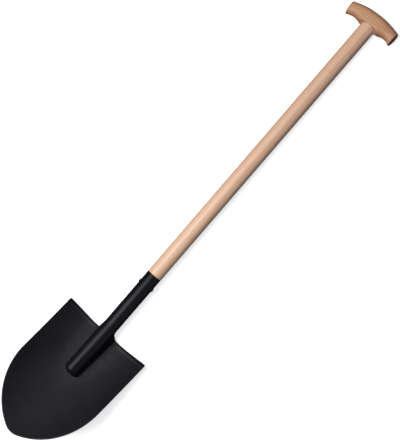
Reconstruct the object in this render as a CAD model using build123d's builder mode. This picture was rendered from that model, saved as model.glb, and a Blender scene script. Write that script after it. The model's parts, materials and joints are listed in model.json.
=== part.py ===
"""Round point shovel with a T-grip, lying on its back on the floor.

Every piece is modelled about the shaft's axis: +Y runs up the shaft from the socket's rim,
+X is the shovel's right side and +Z its front. The last section lays the whole shovel down.
"""

import os
from math import asin, atan2, cos, degrees, radians, sin, sqrt, tan

from build123d import *

# Shaft
shaft_diameter = 38.0
visible_shaft = 756.0
foot_length = 95.0
foot_taper = 1.5
rim_gap = 0.4

# Socket
socket_shy = 0.3
socket_wall = 1.8
socket_length = 168.0
socket_tail = 38.0
socket_fit = 0.1

# Rivet
rivet_diameter = 6.0
rivet_head_diameter = 12.5
rivet_head_height = 2.4
rivet_from_rim = 30.0

# Blade
blade_width = 243.0
blade_length = 314.0
straight_side = 152.5
side_draw = 1.0
belly_width = 0.7655
belly_place = 0.7835
tip_radius = 44.0
tip_turn = 30.0
shoulder_slope = 2.5
corner_radius = 5.0
root_radius = 12.0
sheet = 1.8
blade_lift = 19.0
heel_drop = 10.8
neck_rise = 11.0
dish_radius = 337.0
bow_radius = 1600.0
tread_depth = 9.0

# Frog
frog_fit = 0.1
frog_length = 131.0
frog_lift = 6.75
frog_flare = 12.0
frog_blend = 7.0

# Welds
collar_weld_length = 9.0
seam_weld_length = 30.0
seam_weld_height = 7.0

# Grip
grip_width = 133.4
grip_end_height = 34.7
grip_crown = 8.7
grip_cover = 2.0
grip_flare = 2.2
finger_hollow = 6.4
grip_flat = 6.7
grip_end_rounding = 3.0
lip_width = 3.0
shaft_seat = 14.0
seat_ease = 0.2
seat_lead = 0.5
tenon_diameter = 25.0
wood_fit = 0.1
wedge_thickness = 3.0
wedge_point = 1.0
wedge_end_gap = 2.0
pin_diameter = 5.0
pin_cover = 7.0
pin_above_seat = 8.0
pin_sunk = 0.5

# Sizes that follow from the ones above
shaft_radius = shaft_diameter / 2
socket_radius = shaft_radius - socket_shy
bore_radius = socket_radius - socket_wall
pan_drop = socket_radius + heel_drop
foot_radius = bore_radius - socket_fit
frog_inner = socket_radius + frog_fit
frog_outer = frog_inner + sheet
half_width = blade_width / 2
grip_depth = shaft_diameter + 2 * grip_cover
shoulder_y = -socket_length - neck_rise
grip_rounding = (grip_end_height - grip_flat) / 2
end_bottom = visible_shaft
end_top = visible_shaft + grip_end_height
grip_top = end_top + grip_crown
seat_y = visible_shaft + shaft_seat
tenon_radius = tenon_diameter / 2
tenon_bore = tenon_radius + wood_fit
wedge_end = seat_y + pin_above_seat + pin_diameter / 2 + wedge_end_gap
seat_bore = shaft_radius + wood_fit
reach = 3 * shaft_diameter

# The blade's plane: flat on the pan's middle line at the shoulder, rising towards the point
pan = Plane(
    origin=(0, shoulder_y, -pan_drop),
    x_dir=(1, 0, 0),
    z_dir=(0, sin(radians(blade_lift)), cos(radians(blade_lift))),
)
# The frog's own cross-section plane at the collar, looking down the ridge
frog_run = Vector(0, -cos(radians(frog_lift)), sin(radians(frog_lift)))
frog_section = Plane(origin=(0, -socket_length, 0), x_dir=(1, 0, 0), z_dir=frog_run)
# Where the rivet and the grip's pin go in
rivet_line = Plane.YZ.shift_origin((0, -rivet_from_rim, 0))
pin_line = Plane.XY.shift_origin((0, seat_y + pin_above_seat, 0)).offset(-grip_depth / 2)


def dished(top, bottom):
    """A layer of the pan's double curve, from top to bottom below the pan's front face."""
    middle = blade_length / 2
    sag = bow_radius - sqrt(bow_radius**2 - middle**2)
    hub = pan.from_local_coords(Vector(0, -middle, bow_radius - sag))
    swing = degrees(asin((middle + 2 * frog_outer) / bow_radius))
    spread = degrees(asin((half_width + 2 * corner_radius) / dish_radius))
    across = Plane(origin=hub, x_dir=(1, 0, 0), z_dir=pan.y_dir).rotated((-swing, 0, 0))
    centre = (0, bow_radius - dish_radius)
    with BuildPart() as layer:
        with BuildSketch(across):
            with BuildLine():
                inner = CenterArc(centre, dish_radius + top, 90 - spread, 2 * spread)
                outer = CenterArc(centre, dish_radius + bottom, 90 - spread, 2 * spread)
                Line(inner @ 0, outer @ 0)
                Line(inner @ 1, outer @ 1)
            make_face()
        revolve(axis=Axis(hub, (1, 0, 0)), revolution_arc=2 * swing)
    return layer.part


def blade_outline(inset=0.0):
    """The blade's flat outline with its point at -Y, and the neck between the two roots."""
    turn = radians(tip_turn)
    tip_start = (tip_radius * sin(turn), -blade_length + tip_radius * (1 - cos(turn)))
    with BuildSketch() as flat:
        with BuildLine():
            Polyline(
                (0, neck_rise + frog_outer),
                (frog_outer, neck_rise + frog_outer),
                (frog_outer, 0),
                (frog_outer + root_radius, 0),
                (half_width, shoulder_slope),
                (half_width - side_draw, -straight_side),
            )
            belly = TangentArc(
                (half_width - side_draw, -straight_side),
                (half_width * belly_width, -blade_length * belly_place),
                tangent=(0, -1),
            )
            bow = TangentArc(belly @ 1, tip_start, tangent=belly % 1)
            RadiusArc(bow @ 1, (0, -blade_length), tip_radius)
            mirror(about=Plane.YZ)
        make_face()
        roots = flat.vertices().filter_by(lambda v: v.Y == 0 and abs(v.X) < frog_outer + 1)
        fillet(roots, root_radius - 1)
        corners = flat.vertices().filter_by(lambda v: abs(v.Y - shoulder_slope) < 1e-6)
        fillet(corners, corner_radius)
        if inset:
            offset(amount=-inset)
    return flat.sketch


def arch(radius):
    """The frog's cross-section: a half round crown with flared flanks below it."""
    lean = radians(frog_flare)
    skirt = pan_drop + shaft_diameter
    with BuildSketch() as section:
        with BuildLine():
            crown = CenterArc((0, 0), radius, frog_flare, 180 - 2 * frog_flare)
            right = Line(crown @ 0, (crown @ 0) + Vector(tan(lean) * skirt, -skirt))
            left = Line(crown @ 1, (crown @ 1) + Vector(-tan(lean) * skirt, -skirt))
            Line(right @ 1, left @ 1)
        make_face()
    return section.sketch


def ridge(radius):
    """The whole frog as a solid of the given crown radius, with its blunt nose."""
    run = frog_length + neck_rise - frog_outer
    lean = radians(frog_flare)
    skirt = pan_drop + shaft_diameter
    nose = frog_section.offset(run)
    with BuildPart() as solid:
        with BuildSketch(frog_section.offset(-frog_outer)):
            add(arch(radius))
        extrude(amount=run + frog_outer)
        with BuildSketch(nose):
            with BuildLine():
                crown = CenterArc((0, 0), radius, frog_flare, 90 - frog_flare)
                foot = (crown @ 0) + Vector(tan(lean) * skirt, -skirt)
                Polyline(crown @ 0, foot, (0, foot.Y), crown @ 1)
            make_face()
        revolve(axis=Axis(nose.origin, nose.y_dir))
    return solid.part


def bar(radius, low, high):
    """A round bar about the shaft's axis, from low to high along it."""
    with BuildPart() as solid:
        with BuildSketch(Plane.XZ.offset(-low)):
            Circle(radius)
        extrude(amount=low - high)
    return solid.part


def laid_down(piece, tilt, shift=(0, 0, 0)):
    """A piece turned about +X by tilt degrees, then moved."""
    return piece.moved(Location(shift) * Location((0, 0, 0), (tilt, 0, 0)))


def turned(*points):
    """A solid turned about the shaft's axis from (radius, height) points."""
    with BuildPart() as solid:
        with BuildSketch(Plane.XY):
            with BuildLine():
                Polyline(*points, close=True)
            make_face()
        revolve(axis=Axis.Y)
    return solid.part


def grip_profile():
    """The grip's front outline: a crowned top, flat flared ends, two finger hollows."""
    end_x = grip_width / 2
    foot_x = end_x - grip_flare
    lip_x = shaft_radius + lip_width
    hollow = ((foot_x + lip_x) / 2, end_bottom + finger_hollow)
    with BuildSketch() as flat:
        with BuildLine():
            Line((0, end_bottom), (lip_x, end_bottom))
            ThreePointArc((lip_x, end_bottom), hollow, (foot_x, end_bottom))
            Line((foot_x, end_bottom), (end_x, end_top))
            ThreePointArc((end_x, end_top), (0, grip_top), (-end_x, end_top))
            mirror(about=Plane.YZ)
        make_face()
    return flat.sketch


# Treads: the strip folded back along both shoulders
with BuildPart() as treads:
    add(dished(0, tread_depth))
    with BuildSketch(pan.offset(-reach)):
        add(blade_outline())
        add(blade_outline(sheet), mode=Mode.SUBTRACT)
        Rectangle(
            blade_width - 2 * corner_radius,
            4 * corner_radius + 2 * shoulder_slope,
            mode=Mode.INTERSECT,
        )
    extrude(amount=2 * reach, mode=Mode.INTERSECT)
    add(ridge(frog_inner), mode=Mode.SUBTRACT)

# Blade: the dished pan, the hollow frog pressed up from it and run into the neck, the treads
with BuildPart() as blade:
    add(ridge(frog_outer))
    add(dished(sheet, reach), mode=Mode.SUBTRACT)
    add(dished(0, sheet))
    pan_front = blade.faces().sort_by(SortBy.AREA)[-2:].sort_by(Axis.Z)[-1]
    fillet(pan_front.inner_wires()[0].edges(), frog_blend)
    add(ridge(frog_inner), mode=Mode.SUBTRACT)
    with BuildSketch(pan.offset(-reach)):
        add(blade_outline())
    extrude(amount=2 * reach, mode=Mode.INTERSECT)
    add(treads.part)
    split(bisect_by=Plane.XZ.offset(socket_length), keep=Keep.TOP)

# Socket: the rolled tube over the shaft's foot, its tail tucked into the hollow of the frog
with BuildPart() as socket:
    add(bar(socket_radius, -socket_length - socket_tail, 0))
    add(bar(bore_radius, -socket_length - reach, reach), mode=Mode.SUBTRACT)
    add(dished(sheet, reach), mode=Mode.SUBTRACT)
    with BuildSketch(rivet_line):
        Circle(rivet_diameter / 2)
    extrude(amount=shaft_diameter, both=True, mode=Mode.SUBTRACT)

# Rivet: one shank through socket and shaft, a low domed head on each side
head_rise = rivet_head_height + socket_radius - sqrt(socket_radius**2 - rivet_head_diameter**2 / 4)
with BuildPart() as socket_rivet:
    with BuildSketch(Plane.XY.shift_origin((0, -rivet_from_rim, 0))):
        with BuildLine():
            crest = Vector(socket_radius + rivet_head_height, 0)
            seat = crest - Vector(head_rise, -rivet_head_diameter / 2)
            Line((0, 0), crest)
            RadiusArc(crest, seat, -(rivet_head_diameter**2 / 4 + head_rise**2) / (2 * head_rise))
            Polyline(seat, (0, seat.Y), (0, 0))
        make_face()
        mirror(about=Plane.YZ)
    revolve(axis=Axis((0, -rivet_from_rim, 0), (1, 0, 0)))
    add(bar(socket_radius, -socket_length - reach, reach), mode=Mode.SUBTRACT)
    with BuildSketch(rivet_line):
        Circle(rivet_diameter / 2)
    extrude(amount=socket_radius, both=True)

# Welds: a dressed bead round the front of the collar, and a seam inside each flank
with BuildPart() as collar_weld:
    add(turned(
        (socket_radius, -socket_length),
        (frog_outer, -socket_length),
        (socket_radius, collar_weld_length - socket_length),
    ))
    split(bisect_by=Plane.XY, keep=Keep.TOP)

with BuildPart() as seam_weld:
    add(ridge(frog_inner))
    with BuildSketch(Plane.XZ.offset(socket_length)):
        with Locations((0, -seam_weld_height)):
            Rectangle(blade_width, seam_weld_height)
    extrude(amount=seam_weld_length, mode=Mode.INTERSECT)
    add(bar(socket_radius, -socket_length - reach, reach), mode=Mode.SUBTRACT)

# Grip: rounded all over, bored for the shaft's end, the tenon and the pin
with BuildPart() as grip_blank:
    with BuildSketch(Plane.XY):
        add(grip_profile())
    extrude(amount=grip_depth / 2, both=True)
    rims = grip_blank.faces().filter_by(Axis.Z).edges()
    fillet(rims.filter_by(lambda e: abs(e.center().X) < grip_width * 0.45), grip_rounding)
    ends = grip_blank.faces().filter_by(lambda f: abs(f.center().X) > grip_width * 0.45)
    fillet(ends.edges(), grip_end_rounding)

with BuildPart() as grip:
    add(grip_blank.part)
    add(bar(tenon_bore, 0, grip_top + reach), mode=Mode.SUBTRACT)
    add(bar(seat_bore, 0, seat_y), mode=Mode.SUBTRACT)
    with BuildSketch(pin_line):
        Circle(pin_diameter / 2)
    extrude(amount=grip_depth - pin_cover, mode=Mode.SUBTRACT)

# Wedge: driven into the saw kerf in the tenon's end, trimmed level with the grip's top
with BuildPart() as grip_wedge:
    with BuildSketch(Plane.XY):
        with BuildLine():
            Polyline(
                (-wedge_thickness / 2, grip_top),
                (wedge_thickness / 2, grip_top),
                (wedge_point / 2, wedge_end),
                (-wedge_point / 2, wedge_end),
                close=True,
            )
        make_face()
    extrude(amount=grip_depth, both=True)
    add(bar(tenon_radius, seat_y, grip_top), mode=Mode.INTERSECT)
    add(grip_blank.part, mode=Mode.INTERSECT)

# Shaft: full diameter between the rim and the grip, turned down for the socket and the tenon
with BuildPart() as tenon:
    add(bar(tenon_radius, seat_y - shaft_seat, grip_top))
    add(grip_blank.part, mode=Mode.INTERSECT)
    add(grip_wedge.part, mode=Mode.SUBTRACT)

with BuildPart() as shaft:
    add(turned(
        (0, -foot_length),
        (foot_radius - foot_taper, -foot_length),
        (foot_radius, -foot_length / 2),
        (foot_radius, rim_gap),
        (shaft_radius, rim_gap),
        (shaft_radius, visible_shaft - seat_lead),
        (shaft_radius - seat_ease, visible_shaft - seat_lead),
        (shaft_radius - seat_ease, seat_y - wood_fit),
        (0, seat_y - wood_fit),
    ))
    add(tenon.part)
    with BuildSketch(rivet_line):
        Circle(rivet_diameter / 2)
    extrude(amount=shaft_diameter, both=True, mode=Mode.SUBTRACT)
    with BuildSketch(pin_line):
        Circle(pin_diameter / 2)
    extrude(amount=grip_depth - pin_cover, mode=Mode.SUBTRACT)

# Pin: locks grip and tenon from the back
with BuildPart() as grip_pin:
    with BuildSketch(pin_line.offset(pin_sunk)):
        Circle(pin_diameter / 2)
    extrude(amount=grip_depth - pin_cover - pin_sunk)
    chamfer(grip_pin.faces().sort_by(Axis.Z)[0].edges(), pin_sunk)

# Resting pose: the blade's back and the grip's back both touch the floor
tilt = 0.0
for _ in range(4):
    blade_low = laid_down(blade.part, tilt).bounding_box().min.Z
    grip_low = laid_down(grip_blank.part, tilt).bounding_box().min.Z
    tilt -= degrees(atan2(grip_low - blade_low, socket_length + visible_shaft))

lain = [laid_down(piece.part, tilt).bounding_box() for piece in (blade, grip_blank)]
shift = (0, -(lain[0].min.Y + lain[1].max.Y) / 2, -min(box.min.Z for box in lain))

pieces = {
    "blade": blade,
    "socket": socket,
    "collar_weld": collar_weld,
    "seam_weld": seam_weld,
    "socket_rivet": socket_rivet,
    "shaft": shaft,
    "grip": grip,
    "grip_wedge": grip_wedge,
    "grip_pin": grip_pin,
}
os.makedirs("parts", exist_ok=True)
for name, piece in pieces.items():
    lying = laid_down(piece.part, tilt, shift)
    lying.label = name
    export_step(lying, f"parts/{name}.step")
print(f"tilt {tilt:.4f} degrees, centre of the socket's rim at {shift}")
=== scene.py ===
"""The looks of a round point shovel with a wooden T-grip, lying with its front up.

Shapes are worked out in metres about the shaft's axis: y runs up the shaft from the socket's
rim, x is the shovel's right side and z its front. LIE then takes each finished mesh to where
the shovel lies in the frame.
"""

import json
from math import cos, pi, radians, sin, sqrt, tan

import bpy
import bmesh
import numpy as np
from mathutils import Matrix, Vector


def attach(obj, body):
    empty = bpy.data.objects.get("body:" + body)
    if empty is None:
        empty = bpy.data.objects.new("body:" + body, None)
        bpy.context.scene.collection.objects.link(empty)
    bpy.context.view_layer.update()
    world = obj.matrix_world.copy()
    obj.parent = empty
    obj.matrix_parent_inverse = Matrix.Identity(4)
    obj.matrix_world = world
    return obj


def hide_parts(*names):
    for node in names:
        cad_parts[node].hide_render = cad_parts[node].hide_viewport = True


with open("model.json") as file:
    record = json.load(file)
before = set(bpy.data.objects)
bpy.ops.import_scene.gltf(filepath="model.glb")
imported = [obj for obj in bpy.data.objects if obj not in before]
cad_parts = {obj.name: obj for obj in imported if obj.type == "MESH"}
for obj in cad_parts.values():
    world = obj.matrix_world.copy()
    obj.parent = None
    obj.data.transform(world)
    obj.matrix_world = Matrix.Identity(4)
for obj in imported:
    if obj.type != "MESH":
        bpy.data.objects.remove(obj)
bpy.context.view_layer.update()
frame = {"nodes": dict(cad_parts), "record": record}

MM = 0.001

# Where the shovel lies: the clip mount gives the shaft's axis, radius and bare length
clip = next(m for m in frame["record"]["mounts"] if m["name"] == "shaft_clip")
SHAFT_R = clip["dims"]["r_mm"] * MM
SHAFT_LENGTH = clip["dims"]["length_mm"] * MM
RIM_GAP = 0.4 * MM
FOOT_Y = -0.095
UP = -Vector(clip["axis"]).normalized()
RIGHT = Vector((1, 0, 0))
RIM = Vector(clip["pos_m"]) - UP * (SHAFT_LENGTH / 2 + RIM_GAP)
LIE = Matrix.Translation(RIM) @ Matrix((RIGHT, UP, RIGHT.cross(UP))).transposed().to_4x4()

# Socket, rivet and welds
SHEET = 1.8 * MM
SOCKET_R = SHAFT_R - 0.3 * MM
BORE_R = SOCKET_R - SHEET
SOCKET_LIP = 0.5 * MM
COLLAR_Y = -0.168
TAIL_Y = COLLAR_Y - 0.0375
RIVET_Y = -0.030
RIVET_R = 3 * MM
RIVET_HEAD_R = 6.2 * MM
RIVET_HEAD_H = 2.35 * MM
WELD_SPAN = radians(26)
WELD_LAP = 1.6 * MM
WELD_PROUD = 0.03 * MM
WELD_RUN = 4 * MM
WELD_CROWN = 13 * MM
WELD_END = radians(12)
BEAD_X = 0.0182
BEAD_Z = -0.0085
BEAD_STEPS = (0.0035, 0.0150, 0.0265)
BEAD_R = 2.6 * MM
BEAD_PITCH = 1.4 * MM

# Pan: a dished and bowed sheet, lifted from the shaft's line
PAN_Y = COLLAR_Y - 0.011
PAN_DROP = SOCKET_R + 0.0108
PAN_LIFT = radians(19)
BLADE_LENGTH = 0.314
HALF_WIDTH = 0.121
DISH_R = 0.337
BOW_R = 1.6
ROOT_R = 0.009
CORNER_R = 0.005
SHOULDER_FALL = 2.5 * MM
SIDE_DRAFT = 1 * MM
SIDE_END = 0.1525j
BELLY_END = 0.7655 * HALF_WIDTH + 0.7835j * BLADE_LENGTH
TIP_R = 0.044
TIP_TURN = radians(30)
DRAWN_HALF = 0.060
DRAWN_LENGTH = 0.155
DRAWN_HEIGHT = 0.0042
DRAWN_BLUNT = 0.002
DRAWN_FADE = 0.08

# Frog: the half tube pressed up along the pan's middle, with a blunt nose
FROG_R = SOCKET_R + 0.1 * MM + SHEET
FROG_LIFT = radians(6.75)
FROG_FLARE = radians(6)
FROG_TAPER = 0.10
FROG_RUN = 0.1160
FROG_BLEND = 0.0035
NOSE_LENGTH = 0.0140
NOSE_BLUNT = 2.4
NOSE_FLARE = radians(30)
NOSE_AT = 0.131

# Treads and the blade's ground edge
FOLD_W = 5 * MM
FOLD_WIDTH = 2.6 * MM
FOLD_HEIGHT = 0.5 * MM
FOLD_START = 0.030
FOLD_FADE = 0.012
TREAD_START = 0.034
TREAD_DEPTH = 9 * MM
TREAD_BEND = 3.2 * MM
TREAD_FADE = 0.010
BEVEL_TOP = 0.9 * MM
BEVEL_SIDE = 0.7 * MM
BEVEL_POINT = 1.3 * MM

# The grid over the blade's front, closer where the frog's flanks and nose stand up from it
HALF_COLUMNS = 78
ROWS = 176
FLANK_AT = 0.195
COLLAR_REACH = 0.030
ROW_SETTLE = 0.060
LOWEST = -0.06
HIGHEST = 0.09

# Grip
GRIP_Y = SHAFT_LENGTH + 0.9 * MM
GRIP_HALF = 0.0667
GRIP_FLARE = 2.2 * MM
GRIP_END = 0.0347
GRIP_CROWN = 8.7 * MM
GRIP_DEPTH = 0.021
GRIP_SLIMMING = 6.5 * MM
GRIP_ROUND = 0.014
GRIP_END_ROUND = 2 * MM
GRIP_CREASE = radians(40)
SADDLE_SLOPE = 0.47
SADDLE_END = 0.031
LIP_X = SHAFT_R + 3 * MM
FINGER_HOLLOW = 6.4 * MM
SEAT_DEPTH = 0.014
TENON_R = 0.0125
PIN_R = 2.5 * MM
PIN_Y = GRIP_Y + SEAT_DEPTH + 0.008


# ---------------------------------------------------------------- node trees


class Value:
    """A socket of a node tree. Arithmetic on it adds Math nodes to the tree."""

    def __init__(self, bench, socket):
        self.bench = bench
        self.socket = socket

    def maths(self, operation, *values):
        return self.bench.node("ShaderNodeMath", {"operation": operation}, dict(enumerate(values)))

    def __add__(self, other):
        return self.maths("ADD", self, other)

    def __sub__(self, other):
        return self.maths("SUBTRACT", self, other)

    def __rsub__(self, other):
        return self.maths("SUBTRACT", other, self)

    def __mul__(self, other):
        return self.maths("MULTIPLY", self, other)

    def __truediv__(self, other):
        return self.maths("DIVIDE", self, other)

    def __pow__(self, other):
        return self.maths("POWER", self, other)

    def __abs__(self):
        return self.maths("ABSOLUTE", self)

    __radd__ = __add__
    __rmul__ = __mul__

    def length_with(self, other):
        """The length of the hypotenuse of the two values."""
        return (self * self + other * other) ** 0.5

    def rising(self, low, high):
        """0 below low, 1 above high and a smooth rise between them."""
        return self.bench.node(
            "ShaderNodeMapRange",
            {"interpolation_type": "SMOOTHSTEP"},
            {"Value": self, "From Min": low, "From Max": high, "To Min": 0.0, "To Max": 1.0},
        )


class Bench:
    """A node tree, and the one way in which nodes are added to it."""

    def __init__(self, tree):
        self.tree = tree

    def node(self, kind, settings, sockets, output=0):
        """Adds a node: its settings first, then a value or a link to each socket named."""
        made = self.tree.nodes.new(kind)
        for name, setting in settings.items():
            if name == "stops":
                self.set_stops(made.color_ramp, setting)
            else:
                setattr(made, name, setting)
        for key, value in sockets.items():
            if isinstance(value, Value):
                self.tree.links.new(value.socket, made.inputs[key])
            else:
                made.inputs[key].default_value = value
        return Value(self, made.outputs[output]) if made.outputs else made

    @staticmethod
    def set_stops(ramp, stops):
        """Gives a ramp its (place, colour) stops."""
        ramp.interpolation = "EASE"
        while len(ramp.elements) < len(stops):
            ramp.elements.new(0.5)
        for element, (place, colour) in zip(ramp.elements, stops):
            element.position = place
            element.color = (*colour[:3], 1)


class Finish(Bench):
    """A procedural finish whose patterns are placed about the shaft's axis."""

    def __init__(self, name):
        self.material = bpy.data.materials.new(name)
        self.material.use_nodes = True
        self.material.node_tree.nodes.clear()
        super().__init__(self.material.node_tree)
        spot = self.node("ShaderNodeTexCoord", {}, {}, output="Object")
        back = LIE.inverted()
        self.place = self.node(
            "ShaderNodeMapping",
            {"vector_type": "POINT"},
            {"Vector": spot, "Location": back.translation, "Rotation": back.to_euler()},
        )
        parts = self.node("ShaderNodeSeparateXYZ", {}, {0: self.place})
        self.x, self.y, self.z = (Value(self, s) for s in parts.socket.node.outputs)

    def vector(self, x, y, z):
        return self.node("ShaderNodeCombineXYZ", {}, {0: x, 1: y, 2: z})

    def noise(self, vector, scale=1.0, detail=2.0, roughness=0.5):
        sockets = {"Vector": vector, "Scale": scale, "Detail": detail, "Roughness": roughness}
        return self.node("ShaderNodeTexNoise", {}, sockets)

    def stretched_noise(self, x, y, z, detail, roughness):
        """Noise over a place whose three measures have each been scaled."""
        return self.noise(self.vector(x, y, z), 1.0, detail, roughness)

    def ramp(self, value, *stops):
        return self.node("ShaderNodeValToRGB", {"stops": stops}, {0: value})

    def mix(self, factor, first, second):
        settings = {"data_type": "RGBA"}
        return self.node("ShaderNodeMix", settings, {0: factor, 6: first, 7: second}, output=2)

    def bump(self, height, depth, strength=1.0):
        sockets = {"Height": height, "Distance": depth, "Strength": strength}
        return self.node("ShaderNodeBump", {}, sockets)

    def coat(self, gloss=0.5, **sockets):
        """The shader itself; words with an underscore stand for a socket's name in two words."""
        named = {key.replace("_", " ").title(): value for key, value in sockets.items()}
        named["Specular IOR Level"] = gloss
        shader = self.node("ShaderNodeBsdfPrincipled", {}, named)
        self.node("ShaderNodeOutputMaterial", {}, {"Surface": shader})
        return self.material


def paint(red, green, blue):
    """A screen colour, 0 to 255 a channel, as the shader's linear one."""
    channels = [c / 255 for c in (red, green, blue)]
    return [*(c / 12.92 if c <= 0.04045 else ((c + 0.055) / 1.055) ** 2.4 for c in channels), 1]


# ---------------------------------------------------------------- finishes


def black_powder_coat():
    """Satin black powder coat: fine orange peel, faint clouding and a few paler rubbed spots."""
    finish = Finish("black_powder_coat")
    peel = finish.noise(finish.place, 620.0, 3.0, 0.55)
    grit = finish.noise(finish.place, 2600.0, 2.0, 0.6)
    cloud = finish.noise(finish.place, 16.0, 4.0, 0.6)
    rub = finish.noise(finish.place, 90.0, 5.0, 0.7).rising(0.60, 0.78)
    base = finish.mix(cloud.rising(0.3, 0.7), paint(14, 15, 19), paint(18, 19, 25))
    colour = finish.mix(rub * 0.25, base, paint(46, 47, 52))
    return finish.coat(
        gloss=0.157,
        base_color=colour,
        roughness=0.36 + 0.06 * cloud + 0.06 * rub,
        normal=finish.bump(peel + 0.35 * grit, 0.05 * MM, 0.5),
    )


def ash_grain(finish, along, across, depth, pith, pitch):
    """The slow drift, ring bands, fibre streaks and pores of ash, its grain along one axis."""
    slow = finish.stretched_noise(across * 30.0, along * 2.2, depth * 30.0, 3.0, 0.5)
    bow = finish.stretched_noise(across * 9.0, along * 1.3, depth * 9.0, 2.0, 0.5)
    ring = (across + pith[0]).length_with(depth + pith[1]) / pitch + 3.4 * bow + 0.5 * slow
    saw = ring.maths("FRACT", ring)
    late = saw.rising(0.45, 0.92) - saw.rising(0.95, 1.0)
    fibre = finish.stretched_noise(across * 900.0, along * 14.0, depth * 900.0, 4.0, 0.6)
    pores = finish.stretched_noise(across * 1500.0, along * 60.0, depth * 1500.0, 2.0, 0.5)
    flecks = pores.rising(0.60, 0.74) * (0.35 + 0.65 * (1.0 - late))
    return slow, late, fibre, flecks


def shaft_ash():
    """Pale varnished ash, its grain along the shaft, with painted shade that darkens it towards the
    grip.
    """
    finish = Finish("shaft_ash")
    pith, pitch = (0.041, 0.027), 0.0042
    slow, late, fibre, flecks = ash_grain(finish, finish.y, finish.x, finish.z, pith, pitch)
    # Painted shade: high darkens the pale and tan tones up the shaft towards the grip, standing in
    # for light that falls off there.
    high = finish.y.rising(0.05, 0.74)
    pale = finish.mix(high, paint(236, 198, 168), paint(226, 189, 161))
    tan_with_painted_shade = finish.mix(high, paint(214, 169, 134), paint(200, 156, 123))
    rose = finish.mix(slow.rising(0.4, 0.7) * 0.45, pale, paint(226, 176, 150))
    banded = finish.mix(late * 0.55, rose, tan_with_painted_shade)
    streaked = finish.mix(fibre.rising(0.35, 0.75) * 0.30, banded, tan_with_painted_shade)
    colour = finish.mix(flecks * 0.50, streaked, paint(150, 104, 70))
    end = (finish.y - GRIP_Y - SEAT_DEPTH).rising(0.0, 0.01)
    return finish.coat(
        base_color=finish.mix(end * 0.55, colour, paint(150, 100, 66)),
        roughness=0.42 + 0.14 * fibre + 0.12 * flecks,
        normal=finish.bump(fibre - 1.4 * flecks, 0.06 * MM, 0.6),
        coat_weight=0.15 + 0.10 * slow,
        coat_roughness=0.25,
    )


def grip_ash():
    """Deeper varnished ash, its grain along the grip, darker at the end grain, with painted shade
    round the seat where the shaft goes in.
    """
    finish = Finish("grip_ash")
    pith, pitch = (-0.735, 0.016), 0.0050
    slow, late, fibre, flecks = ash_grain(finish, finish.x, finish.y, finish.z, pith, pitch)
    light = finish.mix(slow.rising(0.35, 0.7), paint(210, 160, 120), paint(190, 138, 110))
    deep = paint(160, 112, 78)
    banded = finish.mix(late * 0.6, light, deep)
    streaked = finish.mix(fibre.rising(0.35, 0.75) * 0.30, banded, deep)
    colour = finish.mix(flecks * 0.5, streaked, paint(120, 80, 52))
    # Painted shade: seat and low mark a ring round the shaft's seat at the grip's foot, painted
    # darker for the shade in the seam.
    seat = 1.0 - finish.x.length_with(finish.z).rising(SHAFT_R + 0.1 * MM, SHAFT_R + 1.6 * MM)
    low = 1.0 - (finish.y - GRIP_Y).rising(0.016, 0.020)
    end = abs(finish.x).rising(GRIP_HALF - 3.5 * MM, GRIP_HALF - 1.5 * MM)
    with_painted_seam_shade = finish.mix(seat * low * 0.7, colour, paint(96, 60, 38))
    return finish.coat(
        base_color=finish.mix(end * 0.6, with_painted_seam_shade, paint(120, 84, 62)),
        roughness=0.48 + 0.14 * fibre + 0.12 * flecks,
        normal=finish.bump(fibre - 1.4 * flecks, 0.06 * MM, 0.6),
        coat_weight=0.05 + 0.08 * slow,
        coat_roughness=0.25,
    )


def wedge_wood():
    """Dark oiled hardwood, with its short grain down into the tenon."""
    finish = Finish("wedge_wood")
    fibre = finish.stretched_noise(finish.x * 1600.0, finish.y * 120.0, finish.z * 700.0, 4.0, 0.6)
    return finish.coat(
        base_color=finish.ramp(fibre, (0.25, paint(92, 58, 36)), (0.75, paint(136, 92, 60))),
        roughness=0.45 + 0.2 * fibre,
        normal=finish.bump(fibre, 0.1 * MM),
    )


def pin_steel():
    """Plain drawn steel, lightly brushed round the end."""
    finish = Finish("pin_steel")
    turned = finish.x.length_with(finish.y - PIN_Y)
    brushed = finish.stretched_noise(turned * 5000.0, finish.z * 300.0, 0.0, 3.0, 0.6)
    colour = finish.ramp(brushed, (0.2, paint(140, 140, 138)), (0.8, paint(196, 196, 193)))
    return finish.coat(base_color=colour, metallic=1.0, roughness=0.28 + 0.2 * brushed)


# ---------------------------------------------------------------- meshes


def lay_down(piece, *, body="root", nodes, finish):
    """Takes a piece from the shaft's axes to where the shovel lies, and ties it to the frame."""
    piece.data.transform(LIE)
    piece.data.materials.clear()
    piece.data.materials.append(finish)
    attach(piece, body)
    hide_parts(*nodes)
    return piece


def new_object(name, data):
    """An object of its own in the scene."""
    made = bpy.data.objects.new(name, data)
    bpy.context.scene.collection.objects.link(made)
    return made


def dressed(mesh, sharp, weld=None, cut=False):
    """Welds a mesh's close points and shades it smooth; one that was cut loses its slivers."""
    form = bmesh.new()
    form.from_mesh(mesh)
    if cut:
        bmesh.ops.triangulate(form, faces=form.faces)
    if weld:
        bmesh.ops.remove_doubles(form, verts=form.verts, dist=weld)
    if cut:
        bmesh.ops.dissolve_degenerate(form, edges=form.edges, dist=weld)
    else:
        bmesh.ops.recalc_face_normals(form, faces=form.faces)
    form.to_mesh(mesh)
    form.free()
    mesh.shade_smooth()
    mesh.set_sharp_from_angle(angle=sharp)
    return mesh


def skin(name, points, faces, sharp):
    """A smooth closed piece from points and faces."""
    mesh = bpy.data.meshes.new(name)
    mesh.from_pydata([tuple(p) for p in points], [], faces)
    return new_object(name, dressed(mesh, sharp, weld=1e-6))


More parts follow.
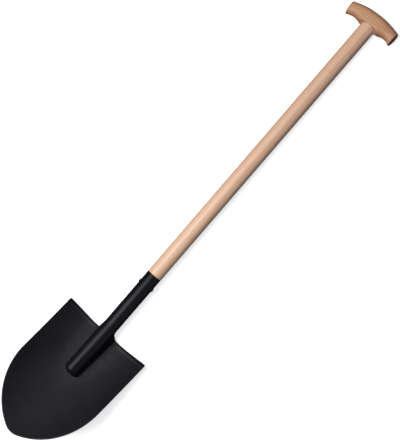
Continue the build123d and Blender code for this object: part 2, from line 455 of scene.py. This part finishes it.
def grid_faces(rows, columns, wrap=False):
    """Quads over a grid of points stored row by row; wrap closes each row on itself."""
    across = range(columns if wrap else columns - 1)
    return [
        (r * columns + c, r * columns + (c + 1) % columns,
         (r + 1) * columns + (c + 1) % columns, (r + 1) * columns + c)
        for r in range(rows - 1) for c in across
    ]


def closed_tube_faces(rows, columns):
    """Quads round a tube of looped rows, with a face over each end."""
    faces = grid_faces(rows, columns, wrap=True)
    faces.append(tuple(range(columns - 1, -1, -1)))
    faces.append(tuple((rows - 1) * columns + c for c in range(columns)))
    return faces


def smooth(value):
    """0 at 0, 1 at 1 and a smooth rise between them."""
    value = np.clip(value, 0, 1)
    return value * value * (3 - 2 * value)


def arc(centre, radius, start, end, count):
    """Points (x, y) along an arc, with its angles in degrees."""
    angles = np.radians(np.linspace(start, end, count))
    return [(centre[0] + radius * cos(a), centre[1] + radius * sin(a)) for a in angles]


# ---------------------------------------------------------------- geometry trees


def new_tree(name, output, **inputs):
    """A geometry tree's bench, and its named inputs, each of the kind of socket given."""
    tree = bpy.data.node_groups.new(name, "GeometryNodeTree")
    tree.is_modifier = True
    for label, kind in inputs.items():
        tree.interface.new_socket(label, in_out="INPUT", socket_type="NodeSocket" + kind)
    tree.interface.new_socket(output, in_out="OUTPUT", socket_type="NodeSocketGeometry")
    bench = Bench(tree)
    given = bench.node("NodeGroupInput", {}, {}).socket.node
    return bench, [Value(bench, socket) for socket in given.outputs[: len(inputs)]]


def end_tree(bench, output, geometry, finish):
    """Ends a tree in plain geometry that has its finish; returns the tree."""
    real = bench.node("GeometryNodeRealizeInstances", {}, {"Geometry": geometry})
    done = bench.node("GeometryNodeSetMaterial", {}, {"Geometry": real, "Material": finish})
    bench.node("NodeGroupOutput", {}, {output: done})
    return bench.tree


def lathe_tree():
    """Turns a profile of (radius, height) points into a solid about its axis."""
    bench, (profile, sides, spindle, finish) = new_tree(
        "lathe", "Solid", Profile="Geometry", Sides="Int", Spindle="Float", Finish="Material",
    )
    circle = {"Resolution": sides, "Radius": spindle}
    ring = bench.node("GeometryNodeCurvePrimitiveCircle", {}, circle)
    solid = bench.node("GeometryNodeCurveToMesh", {}, {"Curve": ring, "Profile Curve": profile})
    sealed = bench.node("GeometryNodeMergeByDistance", {}, {"Geometry": solid, "Distance": 1e-6})
    return end_tree(bench, "Solid", sealed, finish)


def ripple_tree():
    """Lays overlapping ripples, like a stack of coins, along a weld's path."""
    bench, (path, pitch, bead, seed, finish) = new_tree(
        "ripples", "Weld",
        Path="Geometry", Pitch="Float", Bead="Float", Seed="Int", Finish="Material",
    )
    along = {"Curve": path, "Length": pitch}
    points = bench.node("GeometryNodeResampleCurve", {"mode": "LENGTH"}, along)
    ball = {"Segments": 20, "Rings": 12, "Radius": bead}
    ripple = bench.node("GeometryNodeMeshUVSphere", {}, ball)
    tangent = bench.node("GeometryNodeInputTangent", {}, {})
    facing = bench.node("FunctionNodeAlignRotationToVector", {"axis": "Z"}, {"Vector": tangent})
    size = bench.node(
        "FunctionNodeRandomValue",
        {"data_type": "FLOAT_VECTOR"},
        {0: (0.92, 0.92, 0.46), 1: (1.0, 1.0, 0.6), "Seed": seed},
    )
    beads = bench.node(
        "GeometryNodeInstanceOnPoints",
        {},
        {"Points": points, "Instance": ripple, "Rotation": facing, "Scale": size},
    )
    return end_tree(bench, "Weld", beads, finish)


def set_inputs(modifier, **values):
    """Sets a tree's named inputs by their sockets' identifiers."""
    sockets = modifier.node_group.interface.items_tree
    for name, value in values.items():
        socket = next(s for s in sockets if s.in_out == "INPUT" and s.name == name)
        modifier[socket.identifier] = value


def profile_curve(name, points):
    """A plain curve of straight runs through the points."""
    curve = bpy.data.curves.new(name, "CURVE")
    curve.dimensions = "3D"
    run = curve.splines.new("POLY")
    run.points.add(len(points) - 1)
    for point, place in zip(run.points, points):
        point.co = (*place, *[0.0] * (3 - len(place)), 1)
    return new_object(name, curve)


def made_by(tree, source, name, sharp, **values):
    """The plain mesh that a geometry tree makes from a source object, which is then removed."""
    modifier = source.modifiers.new(tree.name, "NODES")
    modifier.node_group = tree
    set_inputs(modifier, **values)
    graph = bpy.context.evaluated_depsgraph_get()
    mesh = bpy.data.meshes.new_from_object(source.evaluated_get(graph))
    bpy.data.objects.remove(source)
    mesh.name = name
    return new_object(name, dressed(mesh, sharp))


# The lathe's ring, by which each profile is moved in, so that it turns about the axis itself
SPINDLE = 1 * MM
LATHE = lathe_tree()
UP_THE_SHAFT = Matrix.Rotation(pi / 2, 4, "X")
TO_THE_RIGHT = Matrix.Rotation(-pi / 2, 4, "Z") @ UP_THE_SHAFT


def turned(name, points, sides, finish, axis=UP_THE_SHAFT, sharp=radians(35)):
    """A piece turned on the lathe from (radius, height) points."""
    curve = profile_curve(name + "_profile", [(r - SPINDLE, h) for r, h in points])
    piece = made_by(LATHE, curve, name, sharp, Sides=sides, Spindle=SPINDLE, Finish=finish)
    piece.data.transform(axis)
    return piece


# ---------------------------------------------------------------- steel parts


def make_socket(finish):
    """The rolled tube, its rim rounded over, its tail tucked into the frog."""
    lip = arc((SOCKET_R - SOCKET_LIP, -SOCKET_LIP), SOCKET_LIP, 0, 90, 5)
    outer = [(SOCKET_R, TAIL_Y), *lip]
    inner = [(BORE_R + 0.2 * MM, 0), (BORE_R, -SOCKET_LIP), (BORE_R, TAIL_Y), (SOCKET_R, TAIL_Y)]
    tube = turned("socket", outer + inner, 96, finish)
    return lay_down(tube, nodes=["socket"], finish=finish)


def make_rivet(finish):
    """One shank through socket and shaft, with a low domed head on each side."""
    top = SOCKET_R + RIVET_HEAD_H
    dome_r = (RIVET_HEAD_R**2 + RIVET_HEAD_H**2) / (2 * RIVET_HEAD_H)
    turn = np.degrees(np.arcsin(RIVET_HEAD_R / dome_r))
    dome = arc((0, top - dome_r), dome_r, 90, 90 - turn, 9)
    skirt = sqrt(SOCKET_R**2 - RIVET_HEAD_R**2)
    right = [*dome, (RIVET_HEAD_R, skirt), (RIVET_R, skirt), (RIVET_R, 0)]
    left = [(r, -h) for r, h in reversed(right)]
    rivet = turned("socket_rivet", right + left, 40, finish, axis=TO_THE_RIGHT)
    rivet.data.transform(Matrix.Translation((0, RIVET_Y, 0)))
    return lay_down(rivet, nodes=["socket_rivet"], finish=finish)


# The pan's own axes: x across, w from the shoulders towards the point, n in front of it
PAN = Matrix.Translation((0, PAN_Y, -PAN_DROP)) @ Matrix((
    (1, 0, 0), (0, -cos(PAN_LIFT), sin(PAN_LIFT)), (0, sin(PAN_LIFT), cos(PAN_LIFT)),
)).transposed().to_4x4()
PAN_TURN = np.array(PAN.to_3x3())
PAN_PLACE = np.array(PAN.translation)
FROG_START = PAN_TURN.T @ (np.array((0, COLLAR_Y, 0)) - PAN_PLACE)
FROG_DIP = PAN_LIFT - FROG_LIFT


def above_pan(x, w, n):
    """How far points lie in front of the dished pan, which is drawn up a little round the frog."""
    middle = BLADE_LENGTH / 2
    swing = np.hypot(w - middle, sqrt(BOW_R**2 - middle**2) - n) - (BOW_R - DISH_R)
    inside = 1 - np.sqrt((x / DRAWN_HALF) ** 2 + (w / DRAWN_LENGTH) ** 2 + DRAWN_BLUNT)
    drawn = DRAWN_HEIGHT * (inside + np.hypot(inside, DRAWN_FADE)) / 2
    fold = FOLD_HEIGHT * bump_at(w, FOLD_W, FOLD_WIDTH)
    fold = fold * smooth((np.abs(x) - FOLD_START) / FOLD_FADE)
    return DISH_R - np.hypot(x, swing) - drawn - fold


def outside_frog(x, w, n):
    """How far points lie outside the frog: a half round crown, flared flanks and a blunt nose."""
    down, ahead = n - FROG_START[2], w - FROG_START[1]
    along = ahead * cos(FROG_DIP) - down * sin(FROG_DIP) - FROG_RUN
    rise = ahead * sin(FROG_DIP) + down * cos(FROG_DIP)
    taper = 1 - FROG_TAPER * np.clip(1 + along / FROG_RUN, 0, 1)
    nose = FROG_R * (np.clip(along, 0, None) / NOSE_LENGTH) ** NOSE_BLUNT
    side = np.hypot(x / taper, nose)
    flare = FROG_FLARE + NOSE_FLARE * (nose / np.maximum(side, 1e-9)) ** 2
    crown = np.hypot(side, rise) - FROG_R
    flank = side * np.cos(flare) + rise * np.sin(flare) - FROG_R
    return np.where(rise > side * np.tan(flare), crown, flank)


def off_front(x, w, n):
    """How far points lie off the blade's front, with pan and frog run into each other."""
    pan, frog = above_pan(x, w, n), outside_frog(x, w, n)
    share = np.clip(0.5 + 0.5 * (frog - pan) / FROG_BLEND, 0, 1)
    return frog * (1 - share) + pan * share - FROG_BLEND * share * (1 - share)


def front_height(x, w):
    """The height n of the blade's front over points (x, w) of its plane, found by halving."""
    low = np.full(np.shape(x), LOWEST)
    high = np.full(np.shape(x), HIGHEST)
    for _ in range(32):
        n = (low + high) / 2
        outside = off_front(x, w, n) > 0
        low, high = np.where(outside, low, n), np.where(outside, n, high)
    return (low + high) / 2


def front_normal(x, w, n):
    """The outward direction of the blade's front, in the pan's axes."""
    step = 0.05 * MM
    slope = np.stack([
        off_front(x + step, w, n) - off_front(x - step, w, n),
        off_front(x, w + step, n) - off_front(x, w - step, n),
        off_front(x, w, n + step) - off_front(x, w, n - step),
    ], -1)
    return slope / np.linalg.norm(slope, axis=-1, keepdims=True)


def tangent_arc(start, heading, end, count):
    """Points of the arc that leaves start along heading and ends at end, and its last heading."""
    chord = end - start
    turn = np.angle(chord / heading)
    share = np.linspace(0, 1, count)
    reach = abs(chord) * np.where(share > 0, np.sin(turn * share) / sin(turn), 0)
    return start + reach * heading * np.exp(1j * turn * share), heading * np.exp(2j * turn)


def half_outline():
    """The blade's right edge as x + i w, from the frog's top round the shoulder to the point."""
    top = np.linspace(0, FROG_R, 40) - 1j * ROOT_R
    bend = np.radians(np.linspace(180, 90, 16))
    foot = FROG_R + ROOT_R - 1j * ROOT_R + ROOT_R * np.exp(1j * bend)
    corner_at = HALF_WIDTH - CORNER_R + 1j * (CORNER_R - SHOULDER_FALL)
    turn = np.radians(np.linspace(-92, 0, 16))
    round_corner = corner_at + CORNER_R * np.exp(1j * turn)
    shoulder = np.linspace(foot[-1], round_corner[0], 80)[1:-1]
    side_end = HALF_WIDTH - SIDE_DRAFT + SIDE_END
    side = np.linspace(round_corner[-1], side_end, 80)[1:]
    belly, heading = tangent_arc(side_end, 1j, BELLY_END, 60)
    tip_start = TIP_R * sin(TIP_TURN) + 1j * (BLADE_LENGTH - TIP_R * (1 - cos(TIP_TURN)))
    bow, _ = tangent_arc(BELLY_END, heading, tip_start, 50)
    swing = np.linspace(TIP_TURN, 0, 24)
    tip = 1j * (BLADE_LENGTH - TIP_R) + TIP_R * np.exp(1j * (pi / 2 - swing))
    return np.concatenate([top, foot, shoulder, round_corner, side, belly[1:], bow[1:], tip[1:]])


def along_outline(points):
    """The distance run along a line of complex points."""
    return np.concatenate([[0], np.cumsum(abs(np.diff(points)))])


def collar_line(x):
    """Where the frog's collar cuts the front, as the w of each x."""
    w = np.zeros_like(x)
    for _ in range(12):
        y_off = PAN_Y - COLLAR_Y + sin(PAN_LIFT) * front_height(x, w)
        w = (y_off + SHEET / 2) / cos(PAN_LIFT)
    return w


def spread(low, high, count, weight):
    """Places from low to high, closer together where the weight is larger."""
    fine = np.linspace(low, high, 4000)
    run = np.concatenate([[0], np.cumsum((weight(fine[1:]) + weight(fine[:-1])) / 2)])
    return np.interp(np.linspace(0, run[-1], count), run, fine)


def bump_at(value, centre, width):
    """1 at the centre, falling to nothing on both sides."""
    return np.exp(-(((value - centre) / width) ** 2))


def edge_profiles(bevel):
    """Loops of (outward, backward) offsets round the sheet's edge: a ground edge and a tread."""
    half = SHEET / 2
    land = 0.35 * SHEET
    nose = (SHEET - land) / 2
    swing = np.radians(np.linspace(90, -90, 9))
    ground = [(0, 0), *((s * (bevel - nose), s * s * land) for s in (0.2, 0.45, 0.7, 0.9))]
    ground += [(bevel - nose + nose * cos(a), land + nose - nose * sin(a)) for a in swing]
    ground += [(s * bevel, SHEET) for s in (0.6, 0.4, 0.2, 0)]
    out = np.radians(np.linspace(0, 90, 6))
    tread = [(TREAD_BEND * sin(a), TREAD_BEND * (1 - cos(a))) for a in out]
    turn = np.radians(np.linspace(0, 180, 7))
    lip = TREAD_DEPTH - half
    tread += [(TREAD_BEND - half + half * cos(a), lip + half * sin(a)) for a in turn]
    inner = TREAD_BEND - SHEET
    tread += [(inner * sin(a), TREAD_BEND - inner * cos(a)) for a in out[::-1][1:]]
    return np.array(ground), np.array(tread)


def edge_shapes(outline, run, corner_run):
    """Along the outline: how far the tread is turned back, and the ground bevel's width."""
    beside = np.clip((outline.real - TREAD_START) / TREAD_FADE, 0, 1) * (run < corner_run + 1 * MM)
    tread = smooth(beside) * smooth((corner_run - 2 * MM - run) / TREAD_FADE)
    side = smooth((run - corner_run) / 0.03)
    low = smooth((run - corner_run - 0.12) / 0.06)
    return tread, BEVEL_TOP + BEVEL_SIDE * side + BEVEL_POINT * low


def column_weight(u):
    """Columns stand closer over the frog and its flank, and beside the blade's edge."""
    return 1 + 2.3 * bump_at(u, FLANK_AT, 0.045) + 0.5 * (u < 0.24) + 1.2 * (u > 0.965)


def blade_points():
    """The grid over the blade's front, its tip, and the tread and bevel widths of its edge."""
    outline = half_outline()
    run = along_outline(outline)
    corner = np.argmax(outline.real - 0.6 * outline.imag)
    tread, bevel = edge_shapes(outline, run, run[corner])
    inset = bevel * (1 - tread) + TREAD_BEND * tread
    heading = np.gradient(outline)
    inner = outline + inset * 1j * heading / abs(heading)
    top, edge, edge_run = inner[: corner + 1], inner[corner:], run[corner:]

    half = spread(0, 1, HALF_COLUMNS, column_weight)
    u = np.concatenate([-half[:0:-1], half])
    top_x = abs(u) * top[-1].real
    outer = np.interp(top_x, top.real[1:], top.imag[1:])
    cut = collar_line(top_x)
    soft = 1.2 * MM
    top_w = (outer + cut + np.sqrt((outer - cut) ** 2 + soft**2)) / 2
    top_w = np.where(top_x < COLLAR_REACH, top_w, outer)

    start, end = edge_run[0], edge_run[-1]
    s = spread(start, end, ROWS, lambda r: 1 + 1.6 * bump_at(r, start + NOSE_AT, 0.014)
               + 1.2 * bump_at(r, start, 0.012) + 1.0 * bump_at(r, end, 0.02))
    row_x = np.interp(s, edge_run, edge.real)
    row_w = np.interp(s, edge_run, edge.imag)
    fade = np.clip(1 - (s - s[0]) / ROW_SETTLE, 0, 1) ** 2
    x = row_x[:-1, None] * u[None, :]
    w = row_w[:-1, None] + (top_w - row_w[0])[None, :] * fade[:-1, None]
    along_top = [np.interp(top_x, top.real, width[: corner + 1]) for width in (tread, bevel)]
    along_side = [np.interp(s, edge_run, width[corner:]) for width in (tread, bevel)]
    widths = [
        np.concatenate([over, beside[1:], beside[-2:0:-1]])
        for over, beside in zip(along_top, along_side)
    ]
    return x, w, row_w[-1], widths


def edge_loops(ring, normal, tread, bevel):
    """The loops of points round the blade's edge, from its front to its back."""
    along = np.roll(ring, -1, 0) - np.roll(ring, 1, 0)
    away = np.cross(along, normal)
    away /= np.linalg.norm(away, axis=1, keepdims=True)
    middle = np.array((0, BLADE_LENGTH / 2, 0))
    away *= np.sign(np.sum(away * (ring - middle), 1))[:, None]
    loops = []
    for place, (share, width) in enumerate(zip(tread, bevel)):
        ground, turned_back = edge_profiles(width)
        offsets = ground * (1 - share) + turned_back * share
        out, backward = offsets[1:-1, :1], offsets[1:-1, 1:]
        loops.append(ring[place] + out * away[place] - backward * normal[place])
    return np.array(loops).transpose(1, 0, 2)


def blade_faces(rows, columns, loop, edge_count):
    """Faces over the blade's front and back, the fans at its tip, and the loops of its edge."""
    tip = rows * columns
    sheet = tip + 1
    faces = grid_faces(rows, columns)
    faces += [tuple(sheet + i for i in reversed(face)) for face in faces]
    last = (rows - 1) * columns
    for c in range(columns - 1):
        faces.append((last + c, last + c + 1, tip))
        faces.append((sheet + last + c + 1, sheet + last + c, sheet + tip))
    rim, count = 2 * sheet, len(loop)
    rings = [list(loop)]
    rings += [[rim + k * count + i for i in range(count)] for k in range(edge_count)]
    rings += [[sheet + i for i in loop]]
    for first, second in zip(rings, rings[1:]):
        for i in range(count):
            j = (i + 1) % count
            faces.append((first[i], first[j], second[j], second[i]))
    return faces


def make_blade(finish):
    """The blade: one pressed sheet with its frog, its ground edge and its turned back treads."""
    x, w, tip_w, (tread, bevel) = blade_points()
    rows, columns = x.shape
    x = np.append(x.ravel(), 0.0)
    w = np.append(w.ravel(), tip_w)
    n = front_height(x, w)
    front = np.stack([x, w, n], -1)
    normal = front_normal(x, w, n)
    back = front - SHEET * normal
    right = [r * columns + columns - 1 for r in range(1, rows)]
    left = [r * columns for r in range(rows - 1, 0, -1)]
    loop = np.array([*range(columns), *right, rows * columns, *left])
    edge = edge_loops(front[loop], normal[loop], tread, bevel)
    points = np.concatenate([front, back, edge.reshape(-1, 3)])
    points = points @ PAN_TURN.T + PAN_PLACE
    faces = blade_faces(rows, columns, loop, len(edge))
    blade = skin("blade", points, faces, sharp=radians(60))
    return lay_down(blade, nodes=["blade"], finish=finish)


def make_collar_weld(finish):
    """The weld at the frog's collar, dressed to a smooth feather on the tube."""
    turn = np.linspace(-WELD_SPAN, pi + WELD_SPAN, 141)
    share = np.linspace(0, 1, 15)
    side = np.minimum(turn, pi - turn)
    lift = tan(FROG_LIFT) * np.sin(np.clip(side, 0, None))
    start_r = np.where(side > FROG_FLARE, FROG_R, FROG_R / np.cos(FROG_FLARE - side))
    start_r = start_r + lift * WELD_LAP + WELD_PROUD
    length = WELD_LAP + WELD_RUN + WELD_CROWN * smooth((side + 0.45) / 0.7)
    inside = SOCKET_R - 0.05 * MM
    left = np.clip((side - turn[0]) / WELD_END, 0.02, 1)
    full = np.sqrt(1 - (1 - left) ** 2)
    a, s = np.meshgrid(np.arange(len(turn)), share, indexing="ij")
    slope = -lift[a] * length[a] * (s * (1 - s) ** 2)
    radius = start_r[a] - (start_r[a] - SOCKET_R) * smooth(s) + slope
    radius = inside + (radius - inside) * full[a]
    y = COLLAR_Y - WELD_LAP + length[a] * s
    outer = np.stack([radius * np.cos(turn[a]), y, radius * np.sin(turn[a])], -1)
    inner = np.stack([inside * np.cos(turn[a]), y, inside * np.sin(turn[a])], -1)
    ring = np.concatenate([outer, inner[:, ::-1]], 1)
    faces = closed_tube_faces(*ring.shape[:2])
    weld = skin("collar_weld", ring.reshape(-1, 3), faces, sharp=radians(60))
    return lay_down(weld, nodes=["collar_weld"], finish=finish)


def make_seam_weld(finish):
    """A rippled bead inside each flank of the frog, along the tube."""
    tree = ripple_tree()
    beads = []
    for side in (-1, 1):
        path = [(side * BEAD_X, COLLAR_Y - start, BEAD_Z) for start in BEAD_STEPS]
        beads.append(made_by(
            tree, profile_curve("weld_path", path), "seam_weld", radians(180),
            Pitch=BEAD_PITCH, Bead=BEAD_R, Seed=5 + side, Finish=finish,
        ))
    weld = joined(beads, "seam_weld")
    return lay_down(weld, nodes=["seam_weld"], finish=finish)


def joined(pieces, name):
    """Several meshes as one piece."""
    form = bmesh.new()
    for piece in pieces:
        form.from_mesh(piece.data)
    for piece in pieces:
        bpy.data.objects.remove(piece)
    mesh = bpy.data.meshes.new(name)
    form.to_mesh(mesh)
    form.free()
    mesh.shade_smooth()
    return new_object(name, mesh)


# ---------------------------------------------------------------- wooden parts


def grip_top(x):
    """The grip's crowned top over its middle line."""
    radius = (GRIP_HALF**2 + GRIP_CROWN**2) / (2 * GRIP_CROWN)
    return GRIP_Y + GRIP_END + GRIP_CROWN - radius + np.sqrt(radius**2 - x**2)


def grip_foot(x):
    """The grip's underside: level at the shaft, with a finger hollow on each side."""
    foot = GRIP_HALF - GRIP_FLARE
    middle, half = (foot + LIP_X) / 2, (foot - LIP_X) / 2
    radius = (half**2 + FINGER_HOLLOW**2) / (2 * FINGER_HOLLOW)
    off = np.clip(np.abs(np.abs(x) - middle), 0, half)
    hollow = FINGER_HOLLOW - radius + np.sqrt(radius**2 - off**2)
    return GRIP_Y + np.clip(hollow, 0, None)


def grip_surface(x, z):
    """The height of the grip's top at any point of it, its edges rounded over."""
    over = np.clip(np.abs(z) - (GRIP_DEPTH - GRIP_ROUND), 0, GRIP_ROUND)
    return grip_top(x) - GRIP_ROUND + np.sqrt(GRIP_ROUND**2 - over**2)


def grip_depth(x):
    """Half the grip's depth, which is full at the shaft and slims towards the ends."""
    return GRIP_DEPTH - GRIP_SLIMMING * smooth((abs(x) - SHAFT_R) / (GRIP_HALF - SHAFT_R))


def saddle_rise(x):
    """How steeply the underside runs up from its middle line, which it does beside the shaft."""
    return SADDLE_SLOPE * smooth((SADDLE_END - abs(x)) / (SADDLE_END - SHAFT_R))


def rounded_section(depth, low, high, inset, rise):
    """A loop of (y, z) points round the grip's section, its corners rounded."""
    radius = max(GRIP_ROUND - inset, 1 * MM)
    half = depth - inset - radius
    top, bottom = high - inset - radius, low + inset + radius
    corners = ((0, top, half), (90, top, -half), (180, bottom, -half), (270, bottom, half))
    loop = []
    for start, y, z in corners:
        for a in np.radians(np.linspace(start, start + 90, 12)):
            loop.append((y + radius * sin(a), z + radius * cos(a)))
        if start == 180:
            loop += [(bottom - radius, half * step) for step in (-0.6, -0.3, 0, 0.3, 0.6)]
    return [(max(y, low + inset + rise * abs(z)) if y < top else y, z) for y, z in loop]


def grip_stations():
    """Where the grip's sections stand: x, how far out from there, and how far they are drawn in."""
    edge, bend = GRIP_HALF - GRIP_END_ROUND, GRIP_END_ROUND
    share = spread(0, 1, 62, lambda u: 1 + 1.5 * bump_at(u, LIP_X / GRIP_HALF, 0.05)
                   + 2.0 * bump_at(u, 1.0, 0.06))
    stations = [(u * edge, 0.0, 0.0) for u in share]
    turn = np.radians(np.linspace(10, 90, 8))
    stations += [(edge, bend * sin(a), bend * (1 - cos(a))) for a in turn]
    return stations + [(edge, bend, bend + extra) for extra in (2 * MM, 4 * MM, 7 * MM)]


def make_grip(finish):
    """The T-grip: crowned top, two finger hollows, flared flat ends, bored for shaft and pin."""
    rings = []
    for x, out, inset in grip_stations():
        ring = []
        section = rounded_section(grip_depth(x), grip_foot(x), grip_top(x), inset, saddle_rise(x))
        for y, z in section:
            flare = GRIP_FLARE * (1 - (y - GRIP_Y) / GRIP_END) * x / GRIP_HALF
            ring.append((x + out - flare, y, z))
        rings.append(ring)
    right = np.array(rings)
    left = right[:0:-1] * (-1, 1, 1)
    rows = np.concatenate([left, right])
    faces = closed_tube_faces(*rows.shape[:2])
    grip = skin("grip", rows.reshape(-1, 3), faces, sharp=GRIP_CREASE)
    bore(grip)
    return lay_down(grip, nodes=["grip"], finish=finish)


def bore(grip):
    """Bores the seat and the tenon's hole up the grip, and the pin's hole in from the back."""
    seat, hole = SHAFT_R + 0.15 * MM, TENON_R + 0.1 * MM
    low, high = GRIP_Y - 0.01, GRIP_Y + GRIP_END + GRIP_CROWN + 0.01
    floor = GRIP_Y + SEAT_DEPTH
    shape = [(0, low), (seat, low), (seat, floor), (hole, floor), (hole, high), (0, high)]
    pin = [(0, -0.03), (PIN_R + 0.05 * MM, -0.03), (PIN_R + 0.05 * MM, 0), (0, 0)]
    pin_drill = turned("pin_drill", pin, 32, None, axis=Matrix.Rotation(pi, 4, "X"))
    pin_drill.data.transform(Matrix.Translation((0, PIN_Y, 0)))
    drills = [turned("drill", shape, 96, None), pin_drill]
    for drill in drills:
        cut = grip.modifiers.new("bore", "BOOLEAN")
        cut.operation, cut.solver, cut.object = "DIFFERENCE", "EXACT", drill
    graph = bpy.context.evaluated_depsgraph_get()
    bored = bpy.data.meshes.new_from_object(grip.evaluated_get(graph))
    grip.modifiers.clear()
    grip.data = dressed(bored, GRIP_CREASE, weld=0.01 * MM, cut=True)
    for drill in drills:
        bpy.data.objects.remove(drill)


def make_shaft(finish):
    """The ash shaft: foot in the socket, chamfered shoulder, tenon up through the grip."""
    chamfer = 0.7 * MM
    seat = GRIP_Y + SEAT_DEPTH - 0.1 * MM
    end = GRIP_Y + GRIP_END + GRIP_CROWN
    foot = BORE_R - 0.1 * MM
    slim = SHAFT_R - 0.2 * MM
    shape = [(0, FOOT_Y), (foot - 2.5 * MM, FOOT_Y), (foot - 1.5 * MM, FOOT_Y + 1 * MM)]
    shape += [(foot, FOOT_Y / 2)]
    shape += [(foot, RIM_GAP), (SHAFT_R - chamfer, RIM_GAP), (SHAFT_R, RIM_GAP + chamfer)]
    shape += [(SHAFT_R, y) for y in np.linspace(0.05, GRIP_Y - 0.05, 16)]
    shape += [(SHAFT_R, GRIP_Y - 0.5 * MM), (slim, GRIP_Y - 0.5 * MM)]
    shape += [(slim, seat), (TENON_R, seat)]
    shape += [(r, end) for r in np.linspace(TENON_R, 0, 9)]
    shaft = turned("shaft", shape, 112, finish)
    for vertex in shaft.data.vertices:
        if vertex.co.y > end - 1 * MM:
            vertex.co.y = grip_surface(abs(vertex.co.x), vertex.co.z) - 0.12 * MM
    return lay_down(shaft, nodes=["shaft"], finish=finish)


def keep_node(name, finish):
    """Keeps a node's own shape, which is fine as it is, and gives it a finish."""
    node = frame["nodes"][name]
    node.data.materials.clear()
    node.data.materials.append(finish)


# ---------------------------------------------------------------- studio


def make_floor():
    """A plain pale floor under everything."""
    reach = 40.0
    mesh = bpy.data.meshes.new("floor")
    corners = [(-reach, -reach, 0), (reach, -reach, 0), (reach, reach, 0), (-reach, reach, 0)]
    mesh.from_pydata(corners, [], [(0, 1, 2, 3)])
    floor = new_object("floor", mesh)
    finish = Finish("pale_floor")
    tone = finish.noise(finish.place, 3.0)
    colour = finish.mix(tone, paint(247, 247, 247), paint(250, 250, 250))
    mesh.materials.append(finish.coat(
        base_color=colour, roughness=0.9, emission_color=colour, emission_strength=0.75,
    ))
    floor.visible_diffuse = floor.visible_glossy = False


def lamp(name, spot, aim, size, power, tint=(1, 1, 1)):
    """A soft square light; its spot and aim are given about the shaft."""
    light = bpy.data.lights.new(name, "AREA")
    light.shape, light.size, light.energy, light.color = "SQUARE", size, power, tint
    made = new_object(name, light)
    place = LIE @ Vector(spot)
    made.location = place
    made.rotation_euler = (place - LIE @ Vector(aim)).to_track_quat("Z", "Y").to_euler()


def make_camera():
    """Looks down on the shovel's front from its right, with the shaft running up to the right."""
    swing = radians(13.7)
    back = Vector((sin(swing), 0, cos(swing)))
    side = Vector((cos(swing), 0, -sin(swing)))
    lean = Vector((0.6524, 0.7573)).normalized()
    right = Vector((0, lean[0], 0)) + side * lean[1]
    up = Vector((0, lean[1], 0)) - side * lean[0]
    data = bpy.data.cameras.new("camera")
    data.sensor_fit, data.sensor_height, data.lens = "VERTICAL", 36, 84.27
    data.clip_end = 50
    camera = new_object("camera", data)
    aim = Vector((-4.0 * MM, 0.167, 0))
    turn = Matrix((right, up, back)).transposed().to_4x4()
    camera.matrix_world = LIE @ Matrix.Translation(aim + back * 2.4) @ turn
    bpy.context.scene.camera = camera


def make_room():
    """A faint even light from all round."""
    world = bpy.data.worlds.new("room")
    world.use_nodes = True
    room = world.node_tree.nodes["Background"]
    room.inputs["Color"].default_value = (1, 1, 1, 1)
    room.inputs["Strength"].default_value = 0.05
    bpy.context.scene.world = world
    bpy.context.scene.view_settings.view_transform = "Standard"


def make_studio():
    """A large soft key from the upper left, a cool fill from the right and a faintly lit room."""
    make_floor()
    make_camera()
    lamp("key", (-0.83, -0.46, 2.8), (0, 0.1, 0), 2.1, 106)
    lamp("fill", (2.4, 0.1, 0.6), (0, 0.1, 0), 1.6, 6.5, (0.84, 0.90, 1.0))
    make_room()


def main():
    """Makes every piece of the shovel, then the studio round it."""
    steel = black_powder_coat()
    make_blade(steel)
    make_socket(steel)
    make_collar_weld(steel)
    make_seam_weld(steel)
    make_rivet(steel)
    make_shaft(shaft_ash())
    make_grip(grip_ash())
    keep_node("grip_wedge", finish=wedge_wood())
    keep_node("grip_pin", finish=pin_steel())
    make_studio()


main()
